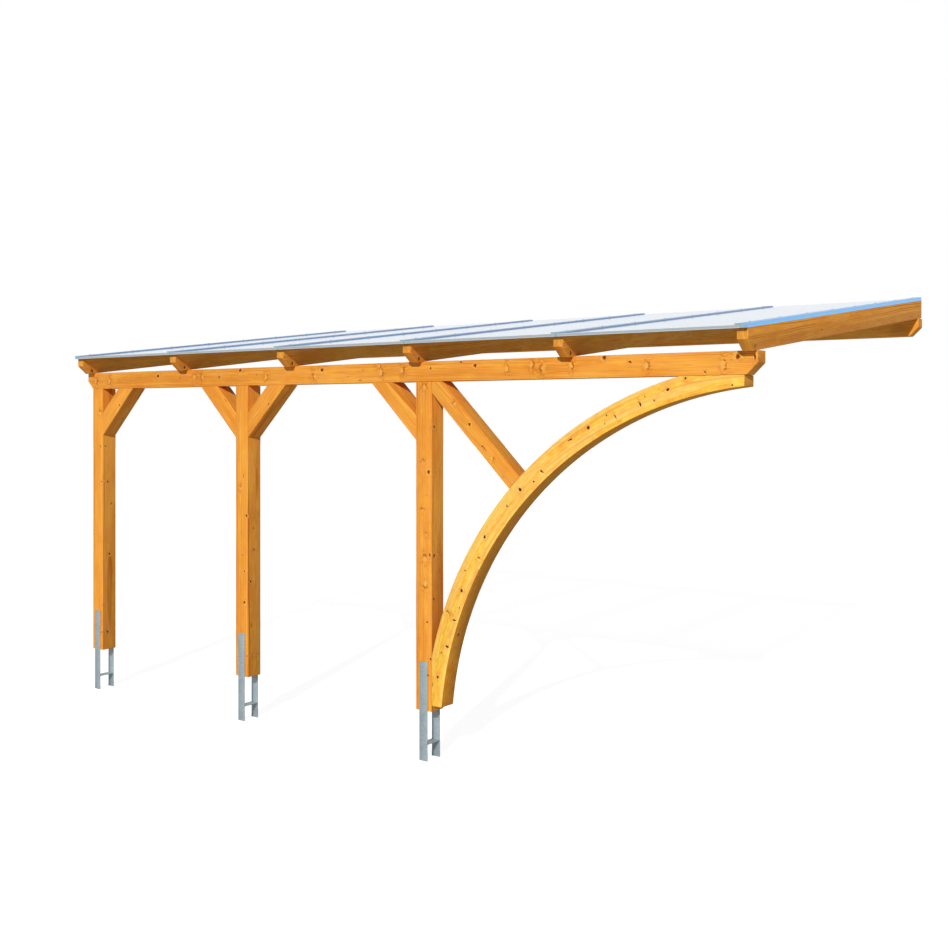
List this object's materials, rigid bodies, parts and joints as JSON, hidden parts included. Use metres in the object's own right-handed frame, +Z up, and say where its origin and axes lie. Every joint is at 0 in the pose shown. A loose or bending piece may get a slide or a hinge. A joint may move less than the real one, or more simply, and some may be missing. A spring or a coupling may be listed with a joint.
{
  "type": "lean-to carport",
  "caption": "Timber lean-to carport with posts on steel anchors, knee braces, a laminated curved arch at one end and a ribbed plastic sheet roof rising to a wall ledger.",
  "frame": {"origin": "the middle of the flat back face of the wall ledger, on the wall", "axes": "+X along the wall, to the right seen from the front; +Y into the wall, out of the ledger's back face; +Z up"},
  "size_m": [5.375, 3.0559, 2.9111],
  "materials": {
    "glazed_spruce": "light oak glaze, planed",
    "laminated_spruce": "light oak glaze, glued laminations",
    "ribbed_polycarbonate": "clear twin wall sheet, glossy",
    "aluminium": "mill finish",
    "galvanised_steel": "hot dip galvanised"
  },
  "bodies": {
    "root": {"post_left": "glazed_spruce", "post_middle": "glazed_spruce", "post_right": "glazed_spruce", "post_anchor_left": "galvanised_steel", "post_anchor_middle": "galvanised_steel", "post_anchor_right": "galvanised_steel", "front_beam": "glazed_spruce", "wall_ledger": "glazed_spruce", "rafter_1": "glazed_spruce", "rafter_2": "glazed_spruce", "rafter_3": "glazed_spruce", "rafter_4": "glazed_spruce", "rafter_5": "glazed_spruce", "rafter_6": "glazed_spruce", "brace_left_post": "glazed_spruce", "brace_middle_post_left": "glazed_spruce", "brace_middle_post_right": "glazed_spruce", "brace_right_post": "glazed_spruce", "long_brace": "glazed_spruce", "curved_arch": "laminated_spruce", "roof_sheet_1": "ribbed_polycarbonate", "roof_sheet_2": "ribbed_polycarbonate", "roof_sheet_3": "ribbed_polycarbonate", "roof_sheet_4": "ribbed_polycarbonate", "roof_sheet_5": "ribbed_polycarbonate", "cover_bar_1": "aluminium", "cover_bar_2": "aluminium", "cover_bar_3": "aluminium", "cover_bar_4": "aluminium", "cover_bar_5": "aluminium", "cover_bar_6": "aluminium", "eaves_strip_1": "aluminium", "eaves_strip_2": "aluminium", "eaves_strip_3": "aluminium", "eaves_strip_4": "aluminium", "eaves_strip_5": "aluminium", "wall_strip_1": "aluminium", "wall_strip_2": "aluminium", "wall_strip_3": "aluminium", "wall_strip_4": "aluminium", "wall_strip_5": "aluminium"}
  },
  "joints": []
}
